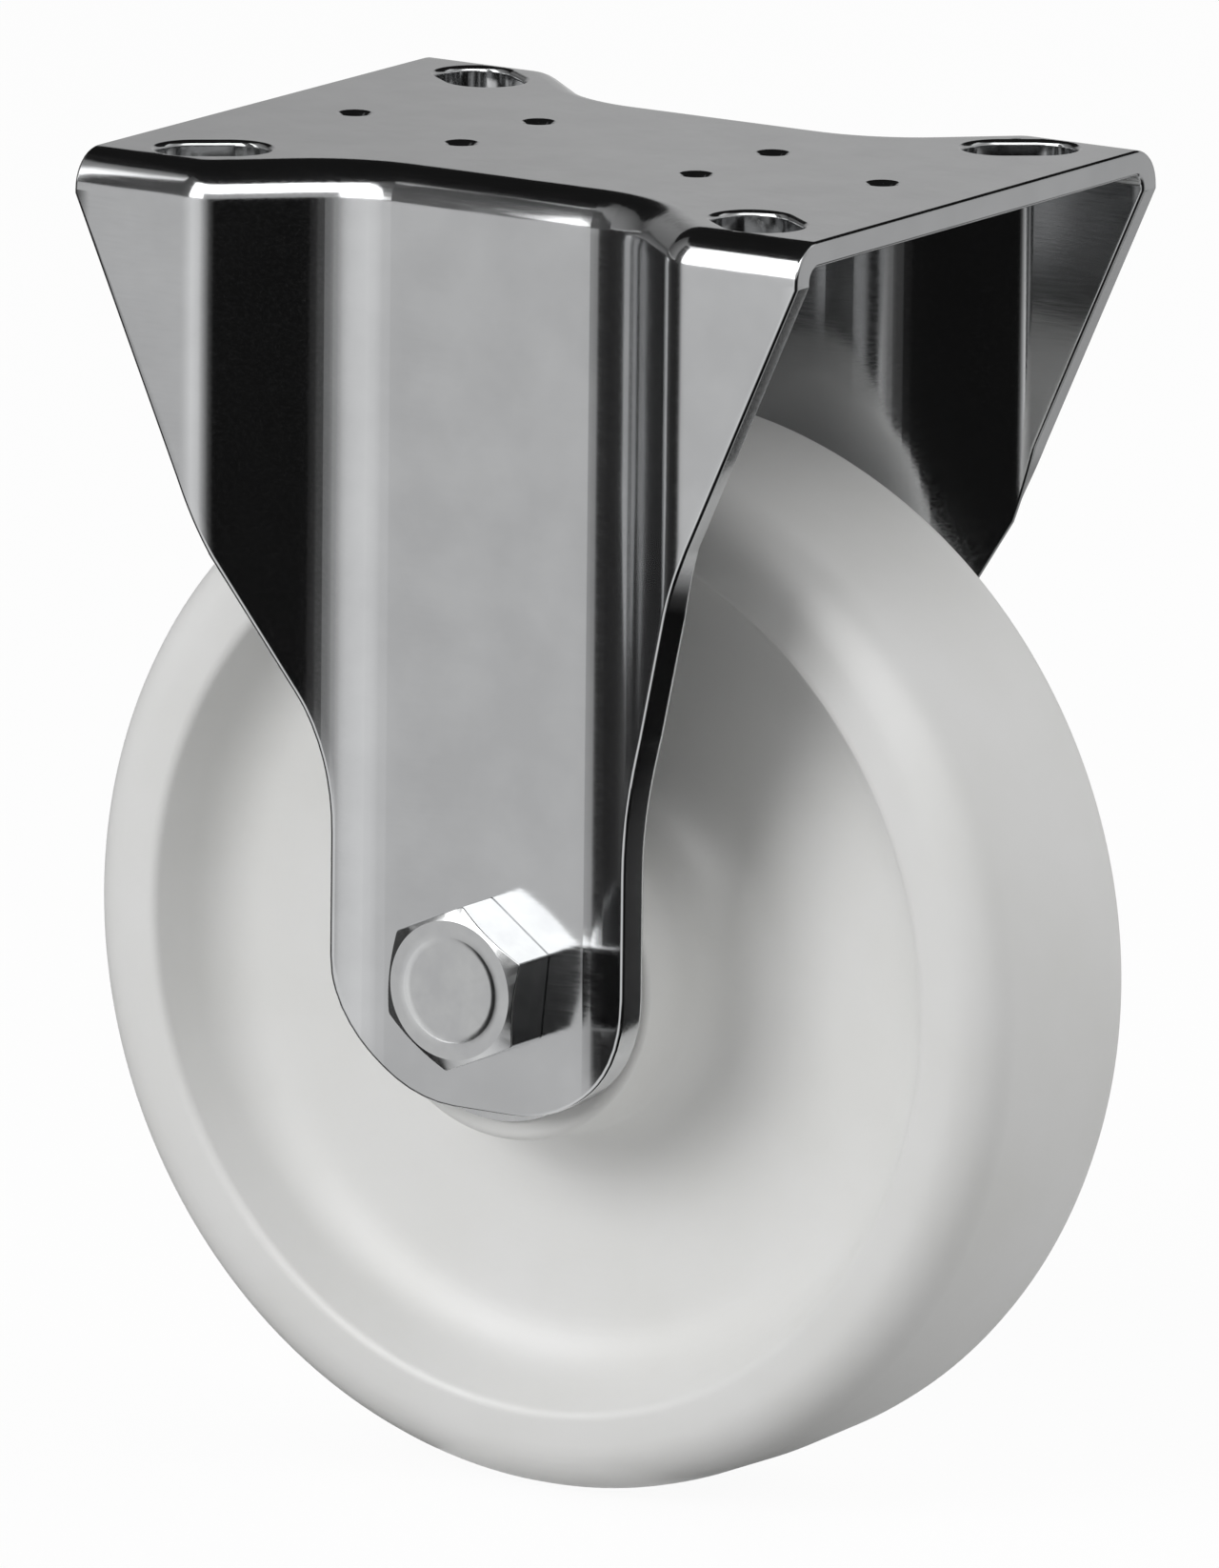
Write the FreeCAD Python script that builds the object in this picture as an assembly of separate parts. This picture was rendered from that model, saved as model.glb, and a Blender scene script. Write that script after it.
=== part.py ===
import os
import math

import FreeCAD
import Part

# Fixed castor: one pressed steel bracket with an integral mounting plate, and a moulded
# polyamide wheel on a roller bearing. Millimetres. The origin is the centre of the mounting
# face, X is the rolling direction, Y is the axle, and the castor hangs down along -Z.

# main sizes
WHEEL_D = 125.0
TOTAL_H = 155.0
AXLE_Z = -(TOTAL_H - WHEEL_D / 2)
SHEET_T = 3.0
PLATE_L = 98.0
PLATE_W = 76.0

# bracket: plan outline of the pressed legs
LEG_INNER_GAP = 46.0
LEG_OUTER_Y = LEG_INNER_GAP / 2 + SHEET_T
LEG_FLAT_HALF = 18.8
WING_START_X = 32.0
WING_BEND_R = 6.0
LEG_BEND_R = 12.0
TOP_BEND_R = 4.5

# bracket: side outline of the legs
OUTLINE_DROP = 5.0
LEG_END_HALF = 20.0
LEG_END_BELOW_AXLE = 15.5
LEG_WAIST_ABOVE_AXLE = 23.5
LEG_WAIST_R = 40.0
LEG_END_R = 16.0

# fixing slots, which point at the plate's centre and take M8 bolts 71 x 53 to 77 x 57 apart
SLOT_PITCH_X = 74.0
SLOT_PITCH_Y = 55.0
SLOT_W = 9.0
SLOT_LEN = 13.0

# shallow press marks in the mounting face
MARK_R = 1.9
MARK_FLOOR_R = 0.8
MARK_DEPTH = 1.0
MARK_END_X = 36.0
MARK_MID_X = 16.0
MARK_MID_Y = 8.0

# axle set, M10
BOLT_D = 10.0
HOLE_CLEARANCE = 0.5
BOLT_AF = 17.0
BOLT_HEAD_H = 7.0
BOLT_HEAD_TURN = 38.0
BOLT_FACE_DISH = 0.4
BOLT_DISH_R = 6.1
BOLT_TIP_CHAMFER = 1.0
CORNER_FACE_SHARE = 0.95
CORNER_SLOPE_DEG = 30.0
NUT_AF = 17.0
NUT_TURN = 12.0
NUT_BODY_H = 7.6
NUT_H = 10.0
NUT_COLLAR_D = 14.6
NUT_CROWN_R = 1.6
INSERT_D = 12.6
INSERT_H = 2.4
INSERT_SET_IN = 0.5
THREAD_STAND_OUT = 3.0
WASHER_D = 20.0
WASHER_T = 2.0
WASHER_HOLE_PLAY = 0.25
WASHER_EDGE_R = 0.5
TUBE_D = 15.0
TUBE_BORE_PLAY = 0.2

# roller bearing
ROLLER_COUNT = 10
ROLLER_D = 4.0
ROLLER_PLAY = 0.04
ROLLER_LEN = 36.0
CAGE_T = 2.6
CAGE_BAR_PLAY = 0.06
CAGE_END = 2.0
CAGE_END_PLAY = 0.4
ROLLER_CHAMFER = 0.3
THRUST_T = 1.0
THRUST_D = 34.0
THRUST_PLAY = 0.1
THRUST_BORE_PLAY = 0.1

# wheel
TREAD_W = 32.0
TREAD_CROWN = 0.5
TREAD_EDGE_R = 6.0
RING_FACE_W = 10.0
RING_LIP_R = 1.6
RING_SLOPE = 4.4
RING_DEPTH = 8.0
WEB_FILLET_R = 5.0
WEB_ROOT_STEP = 1.2
WEB_T = 11.0
WEB_DISH = 1.6
HUB_R = 19.5
HUB_TAPER = 1.5
HUB_FLARE_R = 7.0
HUB_EDGE_R = 1.2

RING_INNER_R = WHEEL_D / 2 - RING_FACE_W
HUB_LEN = LEG_INNER_GAP - 2 * THRUST_T - 2 * THRUST_PLAY
INNER_RACE_R = TUBE_D / 2
OUTER_RACE_R = INNER_RACE_R + ROLLER_D + 2 * ROLLER_PLAY
PITCH_R = (INNER_RACE_R + OUTER_RACE_R) / 2
CAGE_LEN = ROLLER_LEN + 2 * CAGE_END + CAGE_END_PLAY

CUT_OVERLAP = 1.0
UP = FreeCAD.Vector(0, 0, 1)
ALONG_Y = FreeCAD.Vector(0, 1, 0)
AXLE_POINT = FreeCAD.Vector(0, 0, AXLE_Z)


def point(x, y, z=0.0):
    return FreeCAD.Vector(x, y, z)


def y_cylinder(radius, y_from, y_to):
    # a round bar on the axle line
    base = point(0, y_from, AXLE_Z)
    return Part.makeCylinder(radius, y_to - y_from, base, ALONG_Y)


def y_ring(outer_r, inner_r, y_from, y_to):
    bar = y_cylinder(outer_r, y_from, y_to)
    return bar.cut(y_cylinder(inner_r, y_from - CUT_OVERLAP, y_to + CUT_OVERLAP))


def edges_at(shape, points, reach=0.05):
    # the edges that pass through any of the given points
    found = []
    for edge in shape.Edges:
        for p in points:
            if edge.distToShape(Part.Vertex(p))[0] < reach:
                found.append(edge)
                break
    return found


def wave_corners(inset):
    # corners of one leg's plan outline, moved towards the centre line by the inset
    wing_y = PLATE_W / 2 - inset
    flat_y = LEG_OUTER_Y - inset
    run = WING_START_X - LEG_FLAT_HALF
    rise = PLATE_W / 2 - LEG_OUTER_Y
    turn = math.atan2(rise, run)
    shift = inset * math.tan(turn / 2)
    return [(LEG_FLAT_HALF + shift, flat_y), (WING_START_X + shift, wing_y)]


def wave_prism(inset, half_length, top_z, bottom_z):
    # both legs' plan outline as one closed block
    (flat_x, flat_y), (wing_x, wing_y) = wave_corners(inset)
    side = [(-half_length, wing_y), (-wing_x, wing_y), (-flat_x, flat_y)]
    side += [(flat_x, flat_y), (wing_x, wing_y), (half_length, wing_y)]
    outline = [point(x, y, top_z) for x, y in side]
    outline += [point(x, -y, top_z) for x, y in reversed(side)]
    outline.append(outline[0])
    block = Part.Face(Part.makePolygon(outline)).extrude(point(0, 0, bottom_z - top_z))
    middle = (top_z + bottom_z) / 2
    wing_points = []
    flat_points = []
    for sx in (-1, 1):
        for sy in (-1, 1):
            wing_points.append(point(sx * wing_x, sy * wing_y, middle))
            flat_points.append(point(sx * flat_x, sy * flat_y, middle))
    block = block.makeFillet(WING_BEND_R - inset, edges_at(block, wing_points))
    return block.makeFillet(LEG_BEND_R + inset, edges_at(block, flat_points))


def rounded_top(block, inset, top_z, half_length):
    # the bend between the plate and both legs: every top edge but the two short ones
    bend_edges = []
    for edge in block.Edges:
        on_top = all(abs(v.Point.z - top_z) < 1e-6 for v in edge.Vertexes)
        on_end = all(abs(abs(v.Point.x) - half_length) < 1e-6 for v in edge.Vertexes)
        if on_top and not on_end:
            bend_edges.append(edge)
    return block.makeFillet(TOP_BEND_R - inset, bend_edges)


def leg_outline():
    # side outline of the bracket, a tapered tongue with a rounded end
    half = PLATE_L / 2
    waist_z = AXLE_Z + LEG_WAIST_ABOVE_AXLE
    end_z = AXLE_Z - LEG_END_BELOW_AXLE
    side = [(half, CUT_OVERLAP), (half, -OUTLINE_DROP), (LEG_END_HALF, waist_z)]
    side.append((LEG_END_HALF, end_z))
    corners = [point(x, -PLATE_W, z) for x, z in side]
    corners += [point(-x, -PLATE_W, z) for x, z in reversed(side)]
    corners.append(corners[0])
    block = Part.Face(Part.makePolygon(corners)).extrude(point(0, 2 * PLATE_W, 0))
    waist = [point(s * LEG_END_HALF, 0, waist_z) for s in (-1, 1)]
    ends = [point(s * LEG_END_HALF, 0, end_z) for s in (-1, 1)]
    block = block.makeFillet(LEG_END_R, edges_at(block, ends))
    return block.makeFillet(LEG_WAIST_R, edges_at(block, waist))


def slot_cutter(x, y):
    # an obround through the plate, its long axis on the line to the plate's centre
    radius = SLOT_W / 2
    reach = (SLOT_LEN - SLOT_W) / 2
    depth = 4 * SHEET_T
    low = -2 * SHEET_T
    angle = math.degrees(math.atan2(y, x))
    cutter = Part.makeBox(2 * reach, SLOT_W, depth, point(-reach, -radius, low))
    for end in (-reach, reach):
        cutter = cutter.fuse(Part.makeCylinder(radius, depth, point(end, 0, low), UP))
    cutter.rotate(point(0, 0), UP, angle)
    cutter.translate(point(x, y))
    return cutter.removeSplitter()


def press_mark(x, y):
    # a shallow round dimple with a sloping wall
    return Part.makeCone(MARK_FLOOR_R, MARK_R, MARK_DEPTH, point(x, y, -MARK_DEPTH), UP)


def bracket():
    half = PLATE_L / 2
    deep = AXLE_Z - 2 * LEG_END_BELOW_AXLE
    outer = rounded_top(wave_prism(0.0, half, 0.0, deep), 0.0, 0.0, half)
    long_half = half + CUT_OVERLAP
    inner = wave_prism(SHEET_T, long_half, -SHEET_T, deep - CUT_OVERLAP)
    inner = rounded_top(inner, SHEET_T, -SHEET_T, long_half)
    body = outer.cut(inner).common(leg_outline())
    for sx in (-1, 1):
        for sy in (-1, 1):
            body = body.cut(slot_cutter(sx * SLOT_PITCH_X / 2, sy * SLOT_PITCH_Y / 2))
            body = body.cut(press_mark(sx * MARK_MID_X, sy * MARK_MID_Y))
        body = body.cut(press_mark(sx * MARK_END_X, 0.0))
    hole_r = BOLT_D / 2 + HOLE_CLEARANCE / 2
    return body.cut(y_cylinder(hole_r, -PLATE_W, PLATE_W))


def rounded_corner(before, corner, after, radius):
    # the start, middle and end of the arc that rounds a corner
    back = (before - corner).normalize()
    ahead = (after - corner).normalize()
    half_angle = back.getAngle(ahead) / 2
    reach = radius / math.tan(half_angle)
    centre = corner + (back + ahead).normalize() * (radius / math.sin(half_angle))
    middle = centre + (corner - centre).normalize() * radius
    return corner + back * reach, middle, corner + ahead * reach


def rounded_outline(corners, radii):
    # a closed outline of straight runs, with an arc at each corner that has a radius
    count = len(corners)
    bends = []
    for k in range(count):
        corner = corners[k]
        if radii[k] > 0:
            after = corners[(k + 1) % count]
            bends.append(rounded_corner(corners[k - 1], corner, after, radii[k]))
        else:
            bends.append((corner, None, corner))
    edges = []
    for k in range(count):
        start, middle, end = bends[k]
        if middle is not None:
            edges.append(Part.Arc(start, middle, end).toShape())
        edges.append(Part.makeLine(end, bends[(k + 1) % count][0]))
    return Part.Wire(edges)


def half_profile():
    # one side of the wheel's section as (radius, offset from the mid plane, rounding)
    outer_r = WHEEL_D / 2
    tread = TREAD_W / 2
    web = WEB_T / 2
    return [
        (outer_r, 0.0, 0.0),
        (outer_r - TREAD_CROWN, tread, TREAD_EDGE_R),
        (RING_INNER_R, tread, RING_LIP_R),
        (RING_INNER_R - RING_SLOPE, tread - RING_DEPTH, 0.0),
        (RING_INNER_R - RING_SLOPE - WEB_ROOT_STEP, web + WEB_DISH, WEB_FILLET_R),
        (HUB_R + HUB_TAPER, web, HUB_FLARE_R),
        (HUB_R, HUB_LEN / 2, HUB_EDGE_R),
        (OUTER_RACE_R, HUB_LEN / 2, 0.0),
    ]


def wheel():
    # the rounded section turned about the axle line
    side = half_profile()
    section = side + [(r, -y, rounding) for r, y, rounding in reversed(side) if y > 0]
    corners = [point(r, y, AXLE_Z) for r, y, rounding in section]
    outline = rounded_outline(corners, [rounding for r, y, rounding in section])
    return Part.Face(outline).revolve(AXLE_POINT, ALONG_Y, 360)


def hexagon_bar(across_flats, y_from, y_to, turn_deg):
    corner_r = across_flats / math.sqrt(3)
    corners = []
    for k in range(7):
        a = math.radians(turn_deg + 60 * k)
        corners.append(point(corner_r * math.cos(a), y_from, AXLE_Z + corner_r * math.sin(a)))
    return Part.Face(Part.makePolygon(corners)).extrude(point(0, y_to - y_from, 0))


def corner_cone(across_flats, y_face, inward, thickness):
    # a cone that takes a hexagon's corners off at one face
    face_r = CORNER_FACE_SHARE * across_flats / 2
    corner_r = across_flats / math.sqrt(3) + CUT_OVERLAP
    rise = (corner_r - face_r) * math.tan(math.radians(CORNER_SLOPE_DEG))
    top = Part.makeCone(face_r, corner_r, rise, point(0, y_face, AXLE_Z), point(0, inward, 0))
    rest_from = y_face + inward * rise
    rest_to = y_face + inward * thickness
    low, high = min(rest_from, rest_to), max(rest_from, rest_to)
    return top.fuse(y_cylinder(corner_r, low, high))


def axle_bolt():
    seat = -LEG_OUTER_Y
    face = seat - BOLT_HEAD_H
    tip = LEG_OUTER_Y + WASHER_T + NUT_H + THREAD_STAND_OUT
    head = hexagon_bar(BOLT_AF, face, seat, BOLT_HEAD_TURN)
    head = head.common(corner_cone(BOLT_AF, face, 1, BOLT_HEAD_H))
    dish = y_cylinder(BOLT_DISH_R, face - CUT_OVERLAP, face + BOLT_FACE_DISH)
    shank = y_cylinder(BOLT_D / 2, seat, tip - BOLT_TIP_CHAMFER)
    chamfer = Part.makeCone(
        BOLT_D / 2,
        BOLT_D / 2 - BOLT_TIP_CHAMFER,
        BOLT_TIP_CHAMFER,
        point(0, tip - BOLT_TIP_CHAMFER, AXLE_Z),
        ALONG_Y,
    )
    return head.cut(dish).fuse([shank, chamfer]).removeSplitter()


def nut_washer():
    top = LEG_OUTER_Y + WASHER_T
    washer = y_ring(WASHER_D / 2, BOLT_D / 2 + WASHER_HOLE_PLAY, LEG_OUTER_Y, top)
    rim = edges_at(washer, [point(WASHER_D / 2, top, AXLE_Z)])
    rim = [edge for edge in rim if edge.isClosed()]
    return washer.makeFillet(WASHER_EDGE_R, rim)


def lock_nut():
    seat = LEG_OUTER_Y + WASHER_T
    shoulder = seat + NUT_BODY_H
    top = seat + NUT_H
    hexagon = hexagon_bar(NUT_AF, seat, shoulder, NUT_TURN)
    hexagon = hexagon.common(corner_cone(NUT_AF, shoulder, -1, NUT_BODY_H))
    collar = y_cylinder(NUT_COLLAR_D / 2, shoulder - CUT_OVERLAP, top)
    crown = edges_at(collar, [point(NUT_COLLAR_D / 2, top, AXLE_Z)])
    crown = [edge for edge in crown if edge.Length > NUT_COLLAR_D]
    body = hexagon.fuse(collar.makeFillet(NUT_CROWN_R, crown))
    body = body.cut(y_cylinder(BOLT_D / 2, seat - CUT_OVERLAP, top + CUT_OVERLAP))
    groove_top = top - INSERT_SET_IN
    groove = y_cylinder(INSERT_D / 2, groove_top - INSERT_H, groove_top)
    return body.cut(groove).removeSplitter()


def nut_insert():
    top = LEG_OUTER_Y + WASHER_T + NUT_H - INSERT_SET_IN
    return y_ring(INSERT_D / 2, BOLT_D / 2, top - INSERT_H, top)


def axle_tube():
    half = LEG_INNER_GAP / 2
    return y_ring(TUBE_D / 2, BOLT_D / 2 + TUBE_BORE_PLAY, -half, half)


def thrust_washer(side):
    # a plain ring beside the hub, against the inside of one leg
    near = LEG_INNER_GAP / 2 - THRUST_T
    far = LEG_INNER_GAP / 2
    low, high = (near, far) if side > 0 else (-far, -near)
    return y_ring(THRUST_D / 2, TUBE_D / 2 + THRUST_BORE_PLAY, low, high)


def roller_cage():
    # a slotted sleeve that keeps the rollers evenly spaced
    half = CAGE_LEN / 2
    cage = y_ring(PITCH_R + CAGE_T / 2, PITCH_R - CAGE_T / 2, -half, half)
    pocket_half = ROLLER_LEN / 2 + CAGE_END_PLAY / 2
    pocket_r = ROLLER_D / 2 + CAGE_BAR_PLAY
    for k in range(ROLLER_COUNT):
        a = math.radians(360.0 * k / ROLLER_COUNT)
        base = point(PITCH_R * math.cos(a), -pocket_half, AXLE_Z + PITCH_R * math.sin(a))
        cage = cage.cut(Part.makeCylinder(pocket_r, 2 * pocket_half, base, ALONG_Y))
    return cage


def roller(index):
    a = math.radians(360.0 * index / ROLLER_COUNT)
    x = PITCH_R * math.cos(a)
    z = AXLE_Z + PITCH_R * math.sin(a)
    body = Part.makeCylinder(ROLLER_D / 2, ROLLER_LEN, point(x, -ROLLER_LEN / 2, z), ALONG_Y)
    rims = [edge for edge in body.Edges if edge.isClosed()]
    return body.makeChamfer(ROLLER_CHAMFER, rims)


def save(name, shape):
    shape.exportStep("parts/" + name + ".step")


os.makedirs("parts", exist_ok=True)
save("bracket", bracket())
save("wheel", wheel())
save("axle_bolt", axle_bolt())
save("nut_washer", nut_washer())
save("lock_nut", lock_nut())
save("nut_insert", nut_insert())
save("axle_tube", axle_tube())
save("thrust_washer_head_side", thrust_washer(-1))
save("thrust_washer_nut_side", thrust_washer(1))
save("roller_cage", roller_cage())
for number in range(ROLLER_COUNT):
    save("roller_%02d" % (number + 1), roller(number))
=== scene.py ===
import math

import bmesh
import bpy
import numpy as np
from mathutils import Matrix


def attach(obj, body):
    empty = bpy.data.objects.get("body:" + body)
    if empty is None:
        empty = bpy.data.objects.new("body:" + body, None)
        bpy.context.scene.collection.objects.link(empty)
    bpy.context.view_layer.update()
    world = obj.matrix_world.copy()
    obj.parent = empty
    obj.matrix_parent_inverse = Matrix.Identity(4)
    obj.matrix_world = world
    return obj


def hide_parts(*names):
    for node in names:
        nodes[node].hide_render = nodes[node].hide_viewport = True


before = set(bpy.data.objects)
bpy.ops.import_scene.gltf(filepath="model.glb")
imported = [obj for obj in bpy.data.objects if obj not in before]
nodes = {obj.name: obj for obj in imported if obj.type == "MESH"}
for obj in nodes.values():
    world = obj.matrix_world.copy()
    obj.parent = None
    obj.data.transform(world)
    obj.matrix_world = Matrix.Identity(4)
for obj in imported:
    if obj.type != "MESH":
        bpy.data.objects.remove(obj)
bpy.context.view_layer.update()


# Bracket. One sheet of 3 mm steel: a flat mounting plate whose long sides are bent down
# into two legs, each pressed into a wave of wing, slanting wall and flat centre face. The
# blank is stamped, so its rims are slightly rolled, then bent and zinc plated.

MM = 0.001
SHEET_T = 3.0
PLATE_HALF_L = 49.0
PLATE_HALF_W = 38.0
LEG_OUTER_Y = 26.0
LEG_FLAT_HALF = 18.8
WING_START_X = 32.0
LEG_BEND_R = 16.0
WING_BEND_R = 6.0
TOP_BEND_R = 4.5
OUTLINE_DROP = 5.0
LEG_END_HALF = 20.0
LEG_WAIST_Z = -69.0
LEG_WAIST_R = 40.0
LEG_END_Z = -108.0
LEG_END_R = 16.0
RIM_R = 0.45
AXLE_Z = -92.5
AXLE_HOLE_R = 5.25
TONGUE_HALF = LEG_END_HALF - RIM_R + 0.0001
WALL_COLUMNS_X = (24.0, 29.0)
WING_COLUMNS_X = (36.0, PLATE_HALF_L - RIM_R)
CLOSEST_COLUMNS = 0.02
TONGUE_ROWS = 12
LEG_ROWS = 16
TOP_BEND_ROWS = 10
RIM_ROWS = 4
SHEET_SHARP_DEG = 32

WALL_TURN = math.atan2(PLATE_HALF_W - LEG_OUTER_Y, WING_START_X - LEG_FLAT_HALF)
LEG_ARC_X = LEG_FLAT_HALF - LEG_BEND_R * math.tan(WALL_TURN / 2)
WING_ARC_X = WING_START_X + WING_BEND_R * math.tan(WALL_TURN / 2)
SLOPE = math.atan2(PLATE_HALF_L - LEG_END_HALF, -OUTLINE_DROP - LEG_WAIST_Z)
WAIST_ARC_Z = LEG_WAIST_Z - LEG_WAIST_R * math.tan(SLOPE / 2)


def wave(x):
    """Plan line of a leg's outer face: its distance from the middle plane and its turn.

    Flat, then an arc that bends out, a straight slanting wall, an arc that bends back, and
    the flat wing. The turn is the line's angle to the X axis, and follows the sign of x.
    """
    ax = np.abs(x)
    turn = np.where(ax < LEG_ARC_X, 0.0, WALL_TURN)
    in_leg_arc = (ax - LEG_ARC_X) / LEG_BEND_R
    in_wing_arc = (WING_ARC_X - ax) / WING_BEND_R
    turn = np.where((ax >= LEG_ARC_X) & (in_leg_arc < math.sin(WALL_TURN)),
                    np.arcsin(np.clip(in_leg_arc, 0, 1)), turn)
    turn = np.where(in_wing_arc < math.sin(WALL_TURN), np.arcsin(np.clip(in_wing_arc, 0, 1)), turn)
    wall = LEG_OUTER_Y + (ax - LEG_FLAT_HALF) * math.tan(WALL_TURN)
    leg_arc = LEG_OUTER_Y + LEG_BEND_R * (1 - np.cos(turn))
    wing_arc = PLATE_HALF_W - WING_BEND_R * (1 - np.cos(turn))
    y = np.where(in_leg_arc < math.sin(WALL_TURN), leg_arc, wall)
    y = np.where(in_wing_arc < math.sin(WALL_TURN), wing_arc, y)
    return y, turn * np.sign(x)


def leg_columns():
    """X of the grid's columns: close together on every arc of the plan and of the outline.

    On an arc they stand at even angles, and on the flats between the arcs at even steps.
    """
    turns = np.linspace(0, WALL_TURN, 13)
    slopes = np.linspace(0, SLOPE, 9)
    ends = np.linspace(0, math.pi / 2, 13)
    half = np.concatenate([
        np.linspace(0, LEG_END_HALF - LEG_END_R, 3),
        LEG_END_HALF - LEG_END_R + (LEG_END_R - RIM_R) * np.sin(ends),
        LEG_ARC_X + LEG_BEND_R * np.sin(turns),
        LEG_END_HALF + LEG_WAIST_R - (LEG_WAIST_R + RIM_R) * np.cos(slopes),
        np.linspace(*WALL_COLUMNS_X, 4),
        WING_ARC_X - WING_BEND_R * np.sin(turns),
        np.linspace(*WING_COLUMNS_X, 8),
    ])
    half = np.unique(np.round(half, 5))
    keep = np.concatenate([[True], np.diff(half) > CLOSEST_COLUMNS])
    half = half[keep]
    return np.concatenate([-half[:0:-1], half])


def outline_z(x):
    """Lower limits of the sheet at x: of the slanting part, and of the tongue's round end."""
    ax = np.abs(x)
    arc = np.clip((LEG_END_HALF + LEG_WAIST_R - ax) / (LEG_WAIST_R + RIM_R), -1, 1)
    waist = WAIST_ARC_Z + (LEG_WAIST_R + RIM_R) * np.sqrt(1 - arc ** 2)
    line = LEG_WAIST_Z + (ax - LEG_END_HALF + RIM_R / math.cos(SLOPE)) / math.tan(SLOPE)
    upper = np.where(arc > math.cos(SLOPE), waist, line)
    upper = np.where(ax <= TONGUE_HALF, WAIST_ARC_Z, upper)
    side = np.clip((ax - LEG_END_HALF + LEG_END_R) / (LEG_END_R - RIM_R), 0, 1)
    lower = LEG_END_Z + LEG_END_R - (LEG_END_R - RIM_R) * np.sqrt(1 - side ** 2)
    return upper, lower


def sheet_grid():
    """Outer face of the sheet and its normals, from one leg's end over the plate to the other's.

    Each column stands on the wave line at its x. Its rows run up the tongue, up the leg,
    round the top bend as a quarter circle towards the line's inner side, and the other half
    is the mirror image. Columns beside the tongue have no rows there.
    """
    x = leg_columns()
    y, turn = wave(x)
    upper, lower = outline_z(x)
    out = np.stack([-np.sin(turn), -np.cos(turn), np.zeros_like(x)], -1)
    foot = np.stack([x, -y, np.zeros_like(x)], -1)
    tongue = np.abs(x) <= TONGUE_HALF
    low_z = lower + np.linspace(0, 1, TONGUE_ROWS + 1)[:-1, None] * (upper - lower)
    leg_z = upper + np.linspace(0, 1, LEG_ROWS + 1)[:, None] * (-TOP_BEND_R - upper)
    z = np.concatenate([low_z, leg_z])
    leg = foot + z[..., None] * np.array([0, 0, 1.0])
    leg_normal = np.broadcast_to(out, leg.shape)
    bend = np.linspace(0, math.pi / 2, TOP_BEND_ROWS + 1)[1:, None, None]
    top = foot - out * TOP_BEND_R * (1 - np.cos(bend))
    top = top + np.array([0, 0, TOP_BEND_R]) * (np.sin(bend) - 1)
    top_normal = out * np.cos(bend) + np.array([0, 0, 1.0]) * np.sin(bend)
    half = np.concatenate([leg, top])
    half_normal = np.concatenate([leg_normal, top_normal])
    flip = np.array([1, -1, 1])
    face = np.concatenate([half, half[::-1] * flip])
    normal = np.concatenate([half_normal, half_normal[::-1] * flip])
    shown = np.ones(face.shape[:2], bool)
    shown[:TONGUE_ROWS, ~tongue] = False
    shown[-TONGUE_ROWS:, ~tongue] = False
    return face, normal, shown, tongue


def rim_loop(shown, tongue):
    """Grid places round the sheet's cut edge, in order, as rows and columns."""
    rows, cols = shown.shape
    first, last = np.flatnonzero(tongue)[[0, -1]]
    foot = TONGUE_ROWS
    top = rows - 1 - foot
    down = np.arange
    runs = [
        (0, down(first, last)), (down(0, foot), last), (foot, down(last, cols - 1)),
        (down(foot, top), cols - 1), (top, down(cols - 1, last, -1)), (down(top, rows - 1), last),
        (rows - 1, down(last, first, -1)), (down(rows - 1, top, -1), first),
        (top, down(first, 0, -1)), (down(top, foot, -1), 0), (foot, down(0, first)),
        (down(foot, 0, -1), first),
    ]
    pairs = [np.stack(np.broadcast_arrays(r, c), -1) for r, c in runs]
    return np.concatenate(pairs)


def grid_quads(index):
    """Quads between neighbouring places of an array of vertex numbers."""
    quads = np.stack([index[:-1, :-1], index[:-1, 1:], index[1:, 1:], index[1:, :-1]], -1)
    return quads.reshape(-1, 4)


def make_mesh(name, points_mm, quads, tris=(), keep_sharp_deg=SHEET_SHARP_DEG):
    """A mesh from points in millimetres and rows of vertex numbers, its faces turned outwards.

    Points that no face uses are left out, and faces that meet at more than the angle to keep
    sharp are shaded apart.
    """
    corners = np.concatenate([np.ravel(quads), np.ravel(tris)]).astype(int)
    used, corners = np.unique(corners, return_inverse=True)
    quads = corners[:np.size(quads)].reshape(-1, 4)
    tris = corners[quads.size:].reshape(-1, 3)
    mesh = bpy.data.meshes.new(name)
    mesh.from_pydata((points_mm[used] * MM).tolist(), [], quads.tolist() + tris.tolist())
    work = bmesh.new()
    work.from_mesh(mesh)
    bmesh.ops.remove_doubles(work, verts=work.verts, dist=1e-7)
    bmesh.ops.dissolve_degenerate(work, edges=work.edges, dist=1e-7)
    bmesh.ops.recalc_face_normals(work, faces=work.faces)
    work.to_mesh(mesh)
    work.free()
    mesh.shade_smooth()
    mesh.set_sharp_from_angle(angle=math.radians(keep_sharp_deg))
    return mesh


def add_piece(name, mesh):
    """A new object with the mesh, placed in the scene."""
    piece = bpy.data.objects.new(name, mesh)
    bpy.context.scene.collection.objects.link(piece)
    return piece


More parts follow.
